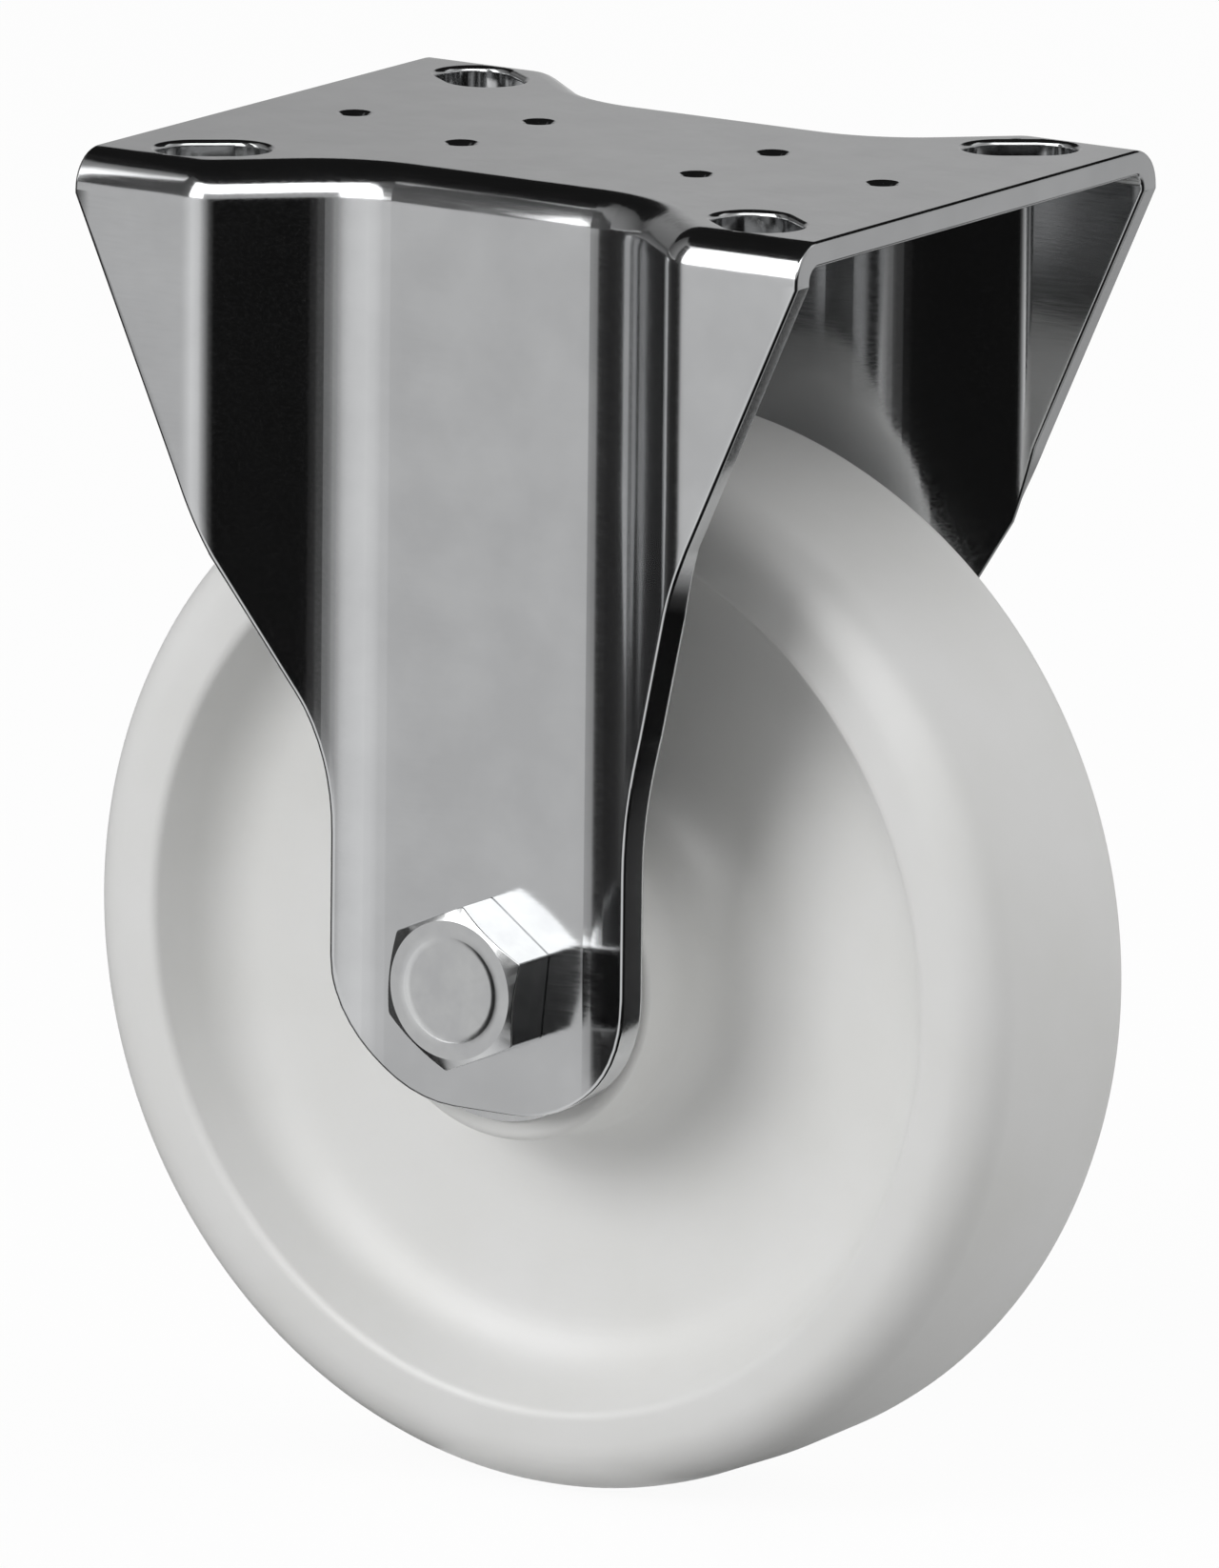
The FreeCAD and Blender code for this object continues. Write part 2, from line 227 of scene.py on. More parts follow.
def sheet_mesh():
    """The closed sheet: outer face, the same moved in by the thickness, and a rolled rim.

    The rim is a profile of two quarter circles with a flat between them. It is carried round
    the cut edge, in the plane of the face's normal and of the direction that leaves the sheet.
    """
    face, normal, shown, tongue = sheet_grid()
    rows, cols = shown.shape
    count = rows * cols
    index = np.where(shown, np.arange(count).reshape(rows, cols), -1)
    quads = grid_quads(index)
    quads = quads[(quads >= 0).all(1)]
    loop = rim_loop(shown, tongue)
    spot = face[loop[:, 0], loop[:, 1]]
    up = normal[loop[:, 0], loop[:, 1]]
    along = np.roll(spot, -1, 0) - spot
    along /= np.linalg.norm(along, axis=1)[:, None]
    along = along + np.roll(along, 1, 0)
    away = np.cross(along, up)
    away /= np.linalg.norm(away, axis=1)[:, None]
    roll = np.linspace(0, math.pi / 2, RIM_ROWS + 1)[1:, None, None]
    near = spot + RIM_R * (away * np.sin(roll) - up * (1 - np.cos(roll)))
    far = spot - up * SHEET_T + RIM_R * (away * np.sin(roll) + up * (1 - np.cos(roll)))
    rim = np.concatenate([near, far[::-1]])
    points = np.concatenate([face.reshape(-1, 3), (face - normal * SHEET_T).reshape(-1, 3),
                             rim.reshape(-1, 3)])
    steps = len(loop)
    ring = loop[:, 0] * cols + loop[:, 1]
    rim_index = 2 * count + np.arange(2 * RIM_ROWS * steps).reshape(-1, steps)
    bands = np.concatenate([ring[None], rim_index, ring[None] + count])
    bands = np.concatenate([bands, bands[:, :1]], 1)
    faces = np.concatenate([quads, quads[:, ::-1] + count, grid_quads(bands)])
    return make_mesh("bracket_sheet", points, faces)


SLOT_X = 37.0
SLOT_Y = 27.5
SLOT_R = 4.5
SLOT_REACH = 2.0
SLOT_RIM = 0.7
SLOT_RUN_OUT = (0.4, 0.085)
MARKS = [(16.0, 8.0), (16.0, -8.0), (-16.0, 8.0), (-16.0, -8.0), (36.0, 0.0), (-36.0, 0.0)]
PUNCH_TOP = 2.0
PUNCH_BOTTOM = -6.0
DRILL_HALF = 31.0
TOOL_STEPS = 64


def turn_angles(steps):
    """Even angles round a full turn."""
    return np.linspace(0, 2 * math.pi, steps + 1)[:-1]


def around(a, radii, offsets):
    """Rings about the axle line at the angles a.

    Each ring has a radius and a place along the axle, each a number or one per angle.
    """
    radii = np.array([radius + 0 * a for radius in radii])
    offsets = np.array([offset + 0 * a for offset in offsets])
    return np.stack([radii * np.cos(a), offsets, AXLE_Z + radii * np.sin(a)], -1)


def ring_index(rings):
    """Vertex numbers of a stack of equal rings, with each ring's first number again at its end."""
    index = np.arange(rings.shape[0] * rings.shape[1]).reshape(rings.shape[:2])
    return np.concatenate([index, index[:, :1]], 1)


def ringed(rings):
    """Closed surface through a stack of equal rings, each end a fan about its ring's middle."""
    count = rings.shape[0] * rings.shape[1]
    index = ring_index(rings)
    points = np.concatenate([rings.reshape(-1, 3), rings[:1].mean(1), rings[-1:].mean(1)])
    fans = [np.stack([np.full(rings.shape[1], hub), row[:-1], row[1:]], -1)
            for hub, row in ((count, index[0]), (count + 1, index[-1]))]
    return points, grid_quads(index), np.concatenate(fans)


def punch(x, y, reach, profile):
    """A punch at a place on the plate, as a stack of rings of the profile's radii and heights.

    Each ring is a circle whose two halves are moved apart by the reach, each way along the
    line to the plate's centre.
    """
    turn = math.atan2(y, x)
    a = turn_angles(TOOL_STEPS) + math.pi / TOOL_STEPS
    radius, z = np.array(profile).T[..., None]
    u = radius * np.cos(a) + reach * np.sign(np.cos(a))
    v = radius * np.sin(a)
    px = x + u * math.cos(turn) - v * math.sin(turn)
    py = y + u * math.sin(turn) + v * math.cos(turn)
    return ringed(np.stack([px, py, np.broadcast_to(z, px.shape)], -1))


def slot_profile():
    """A straight wall with a drawn-in rim: a quarter circle that runs out along the face."""
    roll = np.radians(np.linspace(90, 12, 8))
    radius = SLOT_R + SLOT_RIM * (1 - np.sin(roll))
    z = SLOT_RIM * (np.cos(roll) - 1)
    rim = list(zip(radius, z))
    tail_r = rim[-1][0] + SLOT_RUN_OUT[0]
    tail_z = rim[-1][1] + SLOT_RUN_OUT[1]
    return [(SLOT_R, PUNCH_BOTTOM)] + rim + [(tail_r, tail_z), (tail_r, PUNCH_TOP)]


def mark_profile():
    """A blunt dimple: a rounded floor, a sloping wall and a soft lip."""
    return [(0.35, -1.0), (0.75, -0.93), (1.05, -0.75), (1.35, -0.48), (1.65, -0.22),
            (1.9, -0.06), (2.3, 0.03), (2.3, PUNCH_TOP)]


def cut_away(piece, tools):
    """The piece less all the tools, which are closed shapes as (points, quads, tris)."""
    points = np.concatenate([tool[0] for tool in tools])
    shifts = np.cumsum([0] + [len(tool[0]) for tool in tools[:-1]])
    quads = np.concatenate([tool[1] + shift for tool, shift in zip(tools, shifts)])
    tris = np.concatenate([tool[2] + shift for tool, shift in zip(tools, shifts)])
    tool = add_piece("tool", make_mesh("tool", points, quads, tris))
    step = piece.modifiers.new("cut", "BOOLEAN")
    step.operation = "DIFFERENCE"
    step.solver = "EXACT"
    step.object = tool
    view = bpy.context.evaluated_depsgraph_get()
    cut = bpy.data.meshes.new_from_object(piece.evaluated_get(view))
    piece.modifiers.clear()
    piece.data = cut
    bpy.data.objects.remove(tool)


def shade_evenly(piece, weight=50):
    """Lets large faces lead the shading, so that small rims don't bend the flats beside them."""
    even = piece.modifiers.new("even_shading", "WEIGHTED_NORMAL")
    even.keep_sharp = True
    even.weight = weight


# The plate is punched, and one bar on the axle line drills both legs.
bracket = add_piece("bracket_zinc_sheet", sheet_mesh())
tools = [punch(sx * SLOT_X, sy * SLOT_Y, SLOT_REACH, slot_profile())
         for sx in (-1, 1) for sy in (-1, 1)]
tools += [punch(x, y, 0.0, mark_profile()) for x, y in MARKS]
drill = around(turn_angles(TOOL_STEPS), [AXLE_HOLE_R, AXLE_HOLE_R], [-DRILL_HALF, DRILL_HALF])
tools.append(ringed(drill))
cut_away(bracket, tools)
bracket.data.set_sharp_from_angle(angle=math.radians(SHEET_SHARP_DEG))
shade_evenly(bracket, weight=100)


def linear(hex_colour):
    """An sRGB hex colour as linear red, green, blue and alpha."""
    value = np.array([int(hex_colour[i:i + 2], 16) for i in (1, 3, 5)]) / 255
    value = np.where(value <= 0.04045, value / 12.92, ((value + 0.055) / 1.055) ** 2.4)
    return (*value.tolist(), 1.0)


def add(tree, kind, inputs=None, **settings):
    """One node with its settings. An input is a value, or another node's output to link."""
    node = tree.nodes.new(kind)
    for key, value in settings.items():
        setattr(node, key, value)
    for key, value in (inputs or {}).items():
        if isinstance(value, bpy.types.NodeSocket):
            tree.links.new(value, node.inputs[key])
        else:
            node.inputs[key].default_value = value
    return node


def new_material(name):
    """A material with an empty node tree."""
    material = bpy.data.materials.new(name)
    material.use_nodes = True
    material.node_tree.nodes.clear()
    return material


def ramp(tree, factor, stops):
    """A colour ramp from (place, hex colour) stops."""
    node = add(tree, "ShaderNodeValToRGB", {"Fac": factor})
    band = node.color_ramp.elements
    band[0].position, band[-1].position = stops[0][0], stops[-1][0]
    band[0].color, band[-1].color = linear(stops[0][1]), linear(stops[-1][1])
    for place, colour in stops[1:-1]:
        band.new(place).color = linear(colour)
    return node


# Electroplated zinc with a clear blue passivation on pickled cold-rolled sheet: a bright,
# slightly cloudy grey mirror. The rolling leaves faint streaks along the sheet about 0.3 mm
# wide, and the press leaves a waviness of 15 to 20 mm that bends reflections a little.
zinc_sheet = new_material("zinc_plated_cold_rolled_steel")
tree = zinc_sheet.node_tree
place = add(tree, "ShaderNodeTexCoord").outputs["Object"]
cloud = add(tree, "ShaderNodeTexNoise", {"Vector": place, "Scale": 110.0, "Detail": 3.0})
colour = ramp(tree, cloud.outputs["Fac"], [(0.35, "#C0C1C2"), (0.65, "#C7C8C9")])
stretch = add(tree, "ShaderNodeMapping", {"Vector": place, "Scale": (1.0, 14.0, 14.0)})
streak = add(tree, "ShaderNodeTexNoise",
             {"Vector": stretch.outputs["Vector"], "Scale": 220.0, "Detail": 2.0})
satin = add(tree, "ShaderNodeMapRange",
            {"Value": streak.outputs["Fac"], "From Min": 0.3, "From Max": 0.7,
             "To Min": 0.10, "To Max": 0.16})
swell = add(tree, "ShaderNodeTexNoise", {"Vector": place, "Scale": 55.0, "Detail": 1.0})
press_wave = add(tree, "ShaderNodeBump",
                 {"Height": swell.outputs["Fac"], "Strength": 0.2, "Distance": 0.0004})
grain = add(tree, "ShaderNodeBump",
            {"Height": streak.outputs["Fac"], "Strength": 0.06, "Distance": 0.00005,
             "Normal": press_wave.outputs["Normal"]})
metal = add(tree, "ShaderNodeBsdfPrincipled",
            {"Base Color": colour.outputs["Color"], "Metallic": 1.0,
             "Roughness": satin.outputs["Result"], "Normal": grain.outputs["Normal"]})
add(tree, "ShaderNodeOutputMaterial", {"Surface": metal.outputs["BSDF"]})
bracket.data.materials.clear()
bracket.data.materials.append(zinc_sheet)
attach(bracket, "frame")
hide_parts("bracket")


# Wheel. One piece of natural cast polyamide, machined on a lathe: a ring with a nearly flat
# tread, dished webs and a hub on each side, and a bored seat for the rollers.

WHEEL_SECTION = [
    # radius, distance from the middle plane, rounding
    (62.5, 0.0, 0.0), (62.0, 16.0, 6.0), (52.5, 16.0, 1.6), (47.6, 7.14, 9.0),
    (21.0, 5.5, 7.0), (19.5, 21.9, 1.2), (11.58, 21.9, 0.4),
]
ARC_POINTS = 10
WHEEL_STEPS = 256


def rounded_path(corners):
    """A closed path through the corners, each rounded by an arc of its own radius.

    An arc leaves the corner's two sides at radius over the tangent of half their angle, and
    turns about a centre on the line that halves the angle.
    """
    spots = np.array([c[:2] for c in corners])
    radii = np.array([c[2] for c in corners])
    back = np.roll(spots, 1, 0) - spots
    ahead = np.roll(spots, -1, 0) - spots
    back /= np.linalg.norm(back, axis=1)[:, None]
    ahead /= np.linalg.norm(ahead, axis=1)[:, None]
    half = np.arccos(np.clip((back * ahead).sum(1), -1, 1)) / 2
    middle = back + ahead
    middle /= np.maximum(np.linalg.norm(middle, axis=1), 1e-9)[:, None]
    centre = spots + middle * (radii / np.sin(half))[:, None]
    start = spots + back * (radii / np.tan(half))[:, None] - centre
    end = spots + ahead * (radii / np.tan(half))[:, None] - centre
    t = np.linspace(0, 1, ARC_POINTS)[:, None, None]
    span = (math.pi - 2 * half)[:, None]
    weight = np.maximum(np.sin(span), 1e-9)
    arc = (np.sin((1 - t) * span) * start + np.sin(t * span) * end) / weight + centre
    arc = np.where(radii[:, None] > 0, arc, spots)
    path = arc.transpose(1, 0, 2).reshape(-1, 2)
    keep = np.linalg.norm(path - np.roll(path, 1, 0), axis=1) > 1e-4
    return path[keep]


def looped(rings):
    """Closed surface through a stack of equal rings whose last one joins the first."""
    index = ring_index(rings)
    return rings.reshape(-1, 3), grid_quads(np.concatenate([index, index[:1]]))


section = WHEEL_SECTION + [(r, -y, q) for r, y, q in reversed(WHEEL_SECTION) if y > 0]
wheel_rings = around(turn_angles(WHEEL_STEPS), *rounded_path(section).T)
wheel = add_piece("wheel_polyamide", make_mesh("wheel_polyamide", *looped(wheel_rings)))

# Natural polyamide, cast and turned: a neutral milky white with a satin skin. The tool
# leaves fine rings. Real ones are 0.1 mm apart, and these are drawn 1 mm apart, to show.
polyamide = new_material("natural_cast_polyamide")
tree = polyamide.node_tree
place = add(tree, "ShaderNodeTexCoord").outputs["Object"]
mottle = add(tree, "ShaderNodeTexNoise", {"Vector": place, "Scale": 60.0, "Detail": 3.0})
colour = ramp(tree, mottle.outputs["Fac"], [(0.3, "#E8E8E6"), (0.7, "#ECECEB")])
centred = add(tree, "ShaderNodeMapping",
              {"Vector": place, "Location": (0, 0, -AXLE_Z * MM), "Scale": (1.0, 0.0, 1.0)})
tool_rings = add(tree, "ShaderNodeTexWave", {"Vector": centred.outputs["Vector"], "Scale": 320.0},
                 wave_type="RINGS", rings_direction="SPHERICAL")
skin = add(tree, "ShaderNodeTexNoise", {"Vector": place, "Scale": 900.0, "Detail": 2.0})
satin = add(tree, "ShaderNodeMapRange",
            {"Value": skin.outputs["Fac"], "To Min": 0.38, "To Max": 0.50})
turned_bump = add(tree, "ShaderNodeBump",
                  {"Height": tool_rings.outputs["Fac"], "Strength": 0.05, "Distance": 0.00004})
skin_bump = add(tree, "ShaderNodeBump",
                {"Height": skin.outputs["Fac"], "Strength": 0.12, "Distance": 0.00008,
                 "Normal": turned_bump.outputs["Normal"]})
plastic = add(tree, "ShaderNodeBsdfPrincipled",
              {"Base Color": colour.outputs["Color"], "Roughness": satin.outputs["Result"],
               "IOR": 1.53, "Normal": skin_bump.outputs["Normal"]})
add(tree, "ShaderNodeOutputMaterial", {"Surface": plastic.outputs["BSDF"]})
wheel.data.materials.append(polyamide)
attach(wheel, "wheel_body")
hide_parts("wheel")


# Axle bolt, washer and lock nut, M10. Cold-forged hexagon bolt with a slightly dished face
# and a rolled thread, its head on the -Y side. Behind the far leg come a punched washer and
# a self-locking nut with a nylon ring in its collar. All are zinc plated.

HEX_FLAT_R = 8.5
HEX_CORNER_R = 0.55
HEX_EDGE_R = 0.2
CORNER_FACE_R = 8.075
CORNER_SLOPE = math.tan(math.radians(30))
BOLT_SEAT_Y = -26.0
BOLT_HEAD_H = 7.0
BOLT_FACE = [
    # radius, depth of the dish
    (2.0, 0.2), (5.4, 0.2), (5.8, 0.17), (6.1, 0.06), (6.3, 0.0), (7.0, 0.0),
    (CORNER_FACE_R, 0.0),
]
BOLT_FOOT_IN = 0.25
BOLT_FOOT_H = 0.2
BOLT_TURN = math.radians(24)
FORGED_SHARP_DEG = 24
SHANK_R = 5.0
THREAD_R = 4.97
THREAD_DEPTH = 0.92
THREAD_PITCH = 1.5
THREAD_V_HEIGHT = 1.15
THREAD_V_FALL = 2.6
THREAD_STEPS = 12
THREAD_RUN_IN = 2 * THREAD_PITCH
THREAD_START_Y = 24.0
BOLT_TIP_Y = 41.0
BOLT_TIP_CHAMFER = 1.0
TIP_HUB_R = 2.0


def hexagon_radius(a, turn):
    """Distance from the axis to a hexagon's side at angle a, its corners slightly rounded.

    On a flat it is the flat's distance over the cosine from the flat's middle. Within a
    corner it is the far crossing of the ray with the corner's small circle.
    """
    from_corner = (a - turn + math.pi / 6) % (math.pi / 3) - math.pi / 6
    flat = HEX_FLAT_R / np.cos(math.pi / 6 - np.abs(from_corner))
    middle = (HEX_FLAT_R - HEX_CORNER_R) / math.cos(math.pi / 6)
    reach = middle * np.sin(from_corner)
    corner = middle * np.cos(from_corner) + np.sqrt(np.maximum(HEX_CORNER_R ** 2 - reach ** 2, 0))
    in_corner = np.abs(reach) < HEX_CORNER_R * math.sin(math.pi / 6)
    return np.where(in_corner, np.minimum(flat, corner), flat)


def hexagon_angles(turn):
    """Angles round a hexagon: nine at each rounded corner, then fourteen along each side."""
    near = np.array([-3.2, -2.4, -1.6, -0.8, 0.0, 0.8, 1.6, 2.4, 3.2])
    side = np.linspace(6, 54, 14)
    step = np.radians(np.concatenate([near, side]))
    return (turn + np.arange(6)[:, None] * math.pi / 3 + step).ravel()


def bolt_mesh():
    """Head and thread as one stack of rings, closed at both ends.

    The head's rings follow the hexagon. A 30 degree cone cuts its outer corners, and a small
    arc runs between the cone and the flats. On the shank, the radius drops by the depth of a
    blunt V where the angle and the distance along the axle meet the helix. The V fades in
    over two turns, and the tip is chamfered.
    """
    a = hexagon_angles(BOLT_TURN)
    hexagon = hexagon_radius(a, BOLT_TURN)
    face = BOLT_SEAT_Y - BOLT_HEAD_H
    cone = face + np.maximum(hexagon - CORNER_FACE_R, 0) * CORNER_SLOPE
    radii = [radius for radius, depth in BOLT_FACE]
    offsets = [face + depth for radius, depth in BOLT_FACE]
    for roll in np.radians([60, 45, 30, 15, 0]):
        radii.append(hexagon - HEX_EDGE_R * (1 - math.cos(roll)))
        offsets.append(cone + HEX_EDGE_R * (CORNER_SLOPE - math.sin(roll)))
    radii += [hexagon, hexagon - BOLT_FOOT_IN, SHANK_R]
    offsets += [BOLT_SEAT_Y - BOLT_FOOT_H, BOLT_SEAT_Y, BOLT_SEAT_Y]
    head = around(a, radii, offsets)
    y = np.arange(THREAD_START_Y, BOLT_TIP_Y + 0.01, THREAD_PITCH / THREAD_STEPS)[:, None]
    phase = (y / THREAD_PITCH - a / (2 * math.pi)) % 1
    groove = np.clip(THREAD_V_HEIGHT - THREAD_V_FALL * np.abs(phase - 0.5), 0, 1)
    run_in = np.clip((y - THREAD_START_Y) / THREAD_RUN_IN, 0, 1)
    tip = np.maximum(y - (BOLT_TIP_Y - BOLT_TIP_CHAMFER), 0)
    radius = np.minimum(THREAD_R - THREAD_DEPTH * groove * run_in, THREAD_R - tip)
    shank = around(a, radius, y)
    end = around(a, [TIP_HUB_R], [BOLT_TIP_Y])
    return ringed(np.concatenate([head, shank, end]))


bolt = add_piece("axle_bolt_m10", make_mesh("axle_bolt_m10", *bolt_mesh(),
                                            keep_sharp_deg=FORGED_SHARP_DEG))

NUT_SEAT_Y = 28.0
NUT_BODY_H = 7.6
NUT_H = 10.0
NUT_TURN = math.radians(12)
NUT_COLLAR_R = 7.3
NUT_CROWN_R = 1.6
NUT_FOOT = [(5.02, 0.4), (5.4, 0.0), (CORNER_FACE_R, 0.0)]  # radius, height over the seat
NUT_INSIDE = [
    # radius, depth below the top
    (5.25, 0.1), (5.05, 0.3), (5.05, 0.5), (6.3, 0.5), (6.3, 2.9), (5.02, 2.9),
]


def nut_mesh():
    """The lock nut as a loop of rings.

    From the bore's countersink they follow the hexagon with its cone-cut corners, then the
    collar and its rolled-in crown, the groove that holds the nylon ring, and the bore.
    """
    a = hexagon_angles(NUT_TURN)
    hexagon = hexagon_radius(a, NUT_TURN)
    cone = np.maximum(hexagon - CORNER_FACE_R, 0) * CORNER_SLOPE
    shoulder = NUT_SEAT_Y + NUT_BODY_H
    top = NUT_SEAT_Y + NUT_H
    roll = np.radians([0, 18, 36, 54, 72, 90])
    radii = [radius for radius, height in NUT_FOOT]
    offsets = [NUT_SEAT_Y + height for radius, height in NUT_FOOT]
    radii += [hexagon, hexagon, CORNER_FACE_R, NUT_COLLAR_R]
    offsets += [NUT_SEAT_Y + cone, shoulder - cone, shoulder, shoulder]
    radii += list(NUT_COLLAR_R - NUT_CROWN_R + NUT_CROWN_R * np.cos(roll))
    offsets += list(top - NUT_CROWN_R + NUT_CROWN_R * np.sin(roll))
    radii += [radius for radius, depth in NUT_INSIDE]
    offsets += [top - depth for radius, depth in NUT_INSIDE]
    return looped(around(a, radii, offsets))


nut = add_piece("lock_nut_m10", make_mesh("lock_nut_m10", *nut_mesh(),
                                          keep_sharp_deg=FORGED_SHARP_DEG))

# Bright zinc on forged steel: a little paler than the sheet and a little less glossy, with
# shallow dents of about 1 mm from barrel plating. Its tone and gloss vary in patches.
zinc_fastener = new_material("bright_zinc_plated_forged_steel")
tree = zinc_fastener.node_tree
place = add(tree, "ShaderNodeTexCoord").outputs["Object"]
patch = add(tree, "ShaderNodeTexNoise", {"Vector": place, "Scale": 240.0, "Detail": 3.0})
colour = ramp(tree, patch.outputs["Fac"], [(0.35, "#C2C3C4"), (0.65, "#CBCCCC")])
dents = add(tree, "ShaderNodeTexVoronoi", {"Vector": place, "Scale": 800.0})
satin = add(tree, "ShaderNodeMapRange",
            {"Value": patch.outputs["Fac"], "To Min": 0.14, "To Max": 0.22})
dent_bump = add(tree, "ShaderNodeBump",
                {"Height": dents.outputs["Distance"], "Strength": 0.08, "Distance": 0.0001})
metal = add(tree, "ShaderNodeBsdfPrincipled",
            {"Base Color": colour.outputs["Color"], "Metallic": 1.0,
             "Roughness": satin.outputs["Result"], "Normal": dent_bump.outputs["Normal"]})
add(tree, "ShaderNodeOutputMaterial", {"Surface": metal.outputs["BSDF"]})
for piece, node in ((bolt, "axle_bolt"), (nut, "lock_nut")):
    shade_evenly(piece)
    piece.data.materials.append(zinc_fastener)
    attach(piece, "frame")
    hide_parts(node)


def dress(node, material):
    """Gives a piece that keeps its own shape its finish."""
    nodes[node].data.materials.clear()
    nodes[node].data.materials.append(material)


for node in ("nut_washer", "thrust_washer_head_side", "thrust_washer_nut_side"):
    dress(node, zinc_fastener)

# The lock nut's ring is moulded nylon, plain and milky, with a faint orange-peel skin.
nylon = new_material("moulded_nylon")
tree = nylon.node_tree
place = add(tree, "ShaderNodeTexCoord").outputs["Object"]
peel = add(tree, "ShaderNodeTexNoise", {"Vector": place, "Scale": 1200.0, "Detail": 1.0})
colour = ramp(tree, peel.outputs["Fac"], [(0.3, "#DEDDD6"), (0.7, "#E6E5DF")])
peel_bump = add(tree, "ShaderNodeBump",
                {"Height": peel.outputs["Fac"], "Strength": 0.1, "Distance": 0.0001})
plastic = add(tree, "ShaderNodeBsdfPrincipled",
              {"Base Color": colour.outputs["Color"], "Roughness": 0.4, "IOR": 1.53,
               "Normal": peel_bump.outputs["Normal"]})
add(tree, "ShaderNodeOutputMaterial", {"Surface": plastic.outputs["BSDF"]})
dress("nut_insert", nylon)


# Roller bearing inside the hub: a ground steel tube clamped between the legs, ten ground
# steel rollers on it, and the moulded cage that spaces them. The hub and the thrust
# washers hide nearly all of it.

# Hardened bearing steel, ground: grey and glossy, with grinding lines round the axle.
bearing_steel = new_material("ground_bearing_steel")
tree = bearing_steel.node_tree
place = add(tree, "ShaderNodeTexCoord").outputs["Object"]
squeeze = add(tree, "ShaderNodeMapping", {"Vector": place, "Scale": (1.0, 30.0, 1.0)})
lines = add(tree, "ShaderNodeTexNoise",
            {"Vector": squeeze.outputs["Vector"], "Scale": 120.0, "Detail": 2.0})
colour = ramp(tree, lines.outputs["Fac"], [(0.35, "#A6A7A8"), (0.65, "#B4B5B6")])
satin = add(tree, "ShaderNodeMapRange",
            {"Value": lines.outputs["Fac"], "To Min": 0.14, "To Max": 0.24})
metal = add(tree, "ShaderNodeBsdfPrincipled",
            {"Base Color": colour.outputs["Color"], "Metallic": 1.0,
             "Roughness": satin.outputs["Result"]})
add(tree, "ShaderNodeOutputMaterial", {"Surface": metal.outputs["BSDF"]})
dress("axle_tube", bearing_steel)
for number in range(1, 11):
    dress("roller_%02d" % number, bearing_steel)

# The cage is glass-filled nylon, moulded: matt, yellowish, with pale flecks of fibre.
cage_plastic = new_material("glass_filled_nylon")
tree = cage_plastic.node_tree
place = add(tree, "ShaderNodeTexCoord").outputs["Object"]
fleck = add(tree, "ShaderNodeTexNoise", {"Vector": place, "Scale": 1500.0, "Detail": 4.0})
colour = ramp(tree, fleck.outputs["Fac"], [(0.35, "#D2CDB8"), (0.6, "#E2DECD")])
fleck_bump = add(tree, "ShaderNodeBump",
                 {"Height": fleck.outputs["Fac"], "Strength": 0.2, "Distance": 0.0001})
plastic = add(tree, "ShaderNodeBsdfPrincipled",
              {"Base Color": colour.outputs["Color"], "Roughness": 0.55, "IOR": 1.53,
               "Normal": fleck_bump.outputs["Normal"]})
add(tree, "ShaderNodeOutputMaterial", {"Surface": plastic.outputs["BSDF"]})
dress("roller_cage", cage_plastic)


# Studio. A white table in a white room, soft lamps at the front left, the right and the
# back, and pale and dark curved cards round the castor, as a photographer sets them for a
# bright part. Only reflections show the cards. Its places are in metres.

FLOOR_Z = -0.155
TABLE_HALF = 8.0
TABLE_GLOW = 1.07
TABLE_GLOW_SHARE = 0.88
ROOM_LIGHT = 0.33


def seen_directly(tree):
    """1 on camera, glossy and transmission rays, else 0."""
    path = add(tree, "ShaderNodeLightPath").outputs
    shiny = add(tree, "ShaderNodeMath", {0: path["Is Glossy Ray"], 1: path["Is Transmission Ray"]},
                operation="MAXIMUM").outputs[0]
    return add(tree, "ShaderNodeMath", {0: path["Is Camera Ray"], 1: shiny},
               operation="MAXIMUM").outputs[0]


# The table scatters light as pale grey does, so that little comes back up from it. Seen
# directly it glows, close to pure white, and keeps a faint shadow.
white_table = new_material("matt_white_table")
tree = white_table.node_tree
matt = add(tree, "ShaderNodeBsdfDiffuse", {"Color": linear("#BCBCBC")})
glow = add(tree, "ShaderNodeEmission", {"Color": (1, 1, 1, 1), "Strength": TABLE_GLOW})
share = add(tree, "ShaderNodeMath", {0: seen_directly(tree), 1: TABLE_GLOW_SHARE},
            operation="MULTIPLY")
both = add(tree, "ShaderNodeMixShader",
           {0: share.outputs[0], 1: matt.outputs[0], 2: glow.outputs[0]})
add(tree, "ShaderNodeOutputMaterial", {"Surface": both.outputs[0]})
table_mesh = bpy.data.meshes.new("table")
table_mesh.from_pydata([(x * TABLE_HALF, y * TABLE_HALF, FLOOR_Z)
                        for x, y in ((-1, -1), (1, -1), (1, 1), (-1, 1))], [], [[0, 1, 2, 3]])
table_mesh.materials.append(white_table)
table = add_piece("table", table_mesh)

# The room gives an even soft light, and shows white where it is seen directly.
world = bpy.data.worlds.new("white_room")
bpy.context.scene.world = world
world.use_nodes = True
tree = world.node_tree
tree.nodes.clear()
level = add(tree, "ShaderNodeMapRange",
            {"Value": seen_directly(tree), "To Min": ROOM_LIGHT, "To Max": 1.0})
room = add(tree, "ShaderNodeBackground", {"Color": (1, 1, 1, 1), "Strength": level.outputs[0]})
add(tree, "ShaderNodeOutputWorld", {"Surface": room.outputs[0]})


def direction(azimuth, elevation):
    """Unit vector at an azimuth from -Y towards +X, and an elevation, in degrees."""
    a, e = math.radians(azimuth), math.radians(elevation)
    return np.array([math.sin(a) * math.cos(e), -math.cos(a) * math.cos(e), math.sin(e)])


BAND_COLUMNS = 97


